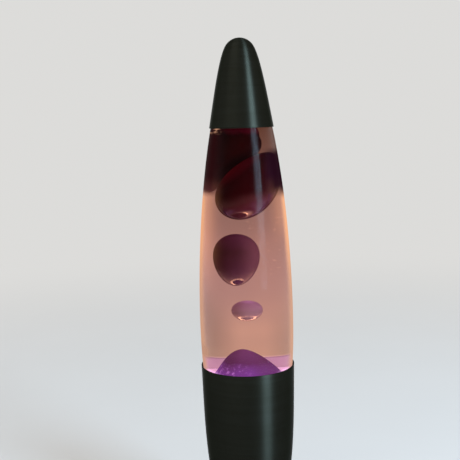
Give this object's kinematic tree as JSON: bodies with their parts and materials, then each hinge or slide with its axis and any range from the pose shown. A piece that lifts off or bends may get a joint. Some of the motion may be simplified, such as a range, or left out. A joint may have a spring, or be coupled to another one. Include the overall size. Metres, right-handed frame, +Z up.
{
  "type": "liquid motion lamp",
  "caption": "Free-standing liquid motion lamp: tapered glass bottle of tinted liquid and wax blobs, bullet-shaped metal cap and spun metal base over a bulb.",
  "frame": {"origin": "centre of the underside, on the table", "axes": "+Z up along the lamp's axis, the pictured front towards -Y, the cord inlet at the back towards +Y"},
  "size_m": [0.098, 0.098, 0.368],
  "materials": {
    "spun_metal": "spun and brushed around the axis, satin, dark grey",
    "bottle_glass": "clear blown glass, polished by the flame",
    "crown_metal": "lacquered tinplate, satin",
    "crown_seal": "soft foamed liner",
    "lamp_liquid": "clear peach-tinted liquid",
    "wax_violet": "molten wax, smooth and glossy, violet over the bulb",
    "wax_mauve": "molten wax, smooth and glossy, mauve",
    "wax_wine": "molten wax, smooth and glossy, dark wine red",
    "wax_dark": "molten wax, smooth and glossy, nearly black red",
    "coil_wire": "bright drawn wire",
    "pressed_steel": "plated sheet, satin",
    "brass": "turned and rolled, satin",
    "holder_plastic": "moulded, semi-gloss black",
    "cover_plastic": "moulded, fine grain, black",
    "foot_rubber": "soft matt black",
    "bushing_plastic": "moulded nylon, black",
    "bulb_glass": "clear thin glass",
    "filament_wire": "drawn wire",
    "bulb_metal": "rolled sheet, bright",
    "bulb_insulation": "dark glassy insulation"
  },
  "bodies": {
    "base": {"upper_cup": "spun_metal", "foot_cone": "spun_metal", "seat_ring": "pressed_steel", "threaded_nipple": "brass", "lock_washer": "pressed_steel", "nipple_nut": "brass", "socket_body": "holder_plastic", "socket_screw_shell": "brass", "socket_contact": "brass", "terminal_screws": "brass", "bottom_cover": "cover_plastic", "rubber_feet": "foot_rubber", "cord_bushing": "bushing_plastic"},
    "globe": {"globe_glass": "bottle_glass", "crown_cap": "crown_metal", "crown_liner": "crown_seal", "clear_liquid": "lamp_liquid", "wax_mound": "wax_violet", "wax_top_mass": "wax_dark", "wire_coil": "coil_wire"},
    "cap": {"cap_shell": "spun_metal"},
    "bulb": {"bulb_envelope": "bulb_glass", "bulb_stem": "bulb_glass", "bulb_filament": "filament_wire", "bulb_cap": "bulb_metal", "bulb_insulator": "bulb_insulation", "bulb_tip": "bulb_metal"},
    "small_blob": {"wax_small_blob": "wax_mauve"},
    "middle_blob": {"wax_middle_blob": "wax_wine"},
    "upper_blob": {"wax_upper_blob": "wax_dark"}
  },
  "joints": [
    {"name": "globe_lift", "type": "slide", "parent": "base", "child": "globe", "axis": [0, 0, 1], "range_m": [0, 0.06]},
    {"name": "cap_lift", "type": "slide", "parent": "globe", "child": "cap", "axis": [0, 0, 1], "range_m": [0, 0.05]},
    {"name": "bulb_turn", "type": "hinge", "parent": "base", "child": "bulb", "pos_m": [0, 0, 0.06], "axis": [0, 0, 1], "range_deg": [0, 1080]},
    {"name": "small_blob_rise", "type": "slide", "parent": "globe", "child": "small_blob", "axis": [0, 0, 1], "range_m": [-0.014, 0.004], "deforming": ["clear_liquid"]},
    {"name": "middle_blob_rise", "type": "slide", "parent": "globe", "child": "middle_blob", "axis": [0, 0, 1], "range_m": [-0.005, 0.003], "deforming": ["clear_liquid"]},
    {"name": "upper_blob_rise", "type": "slide", "parent": "globe", "child": "upper_blob", "axis": [0, 0, 1], "range_m": [-0.004, 0], "deforming": ["clear_liquid"]}
  ]
}
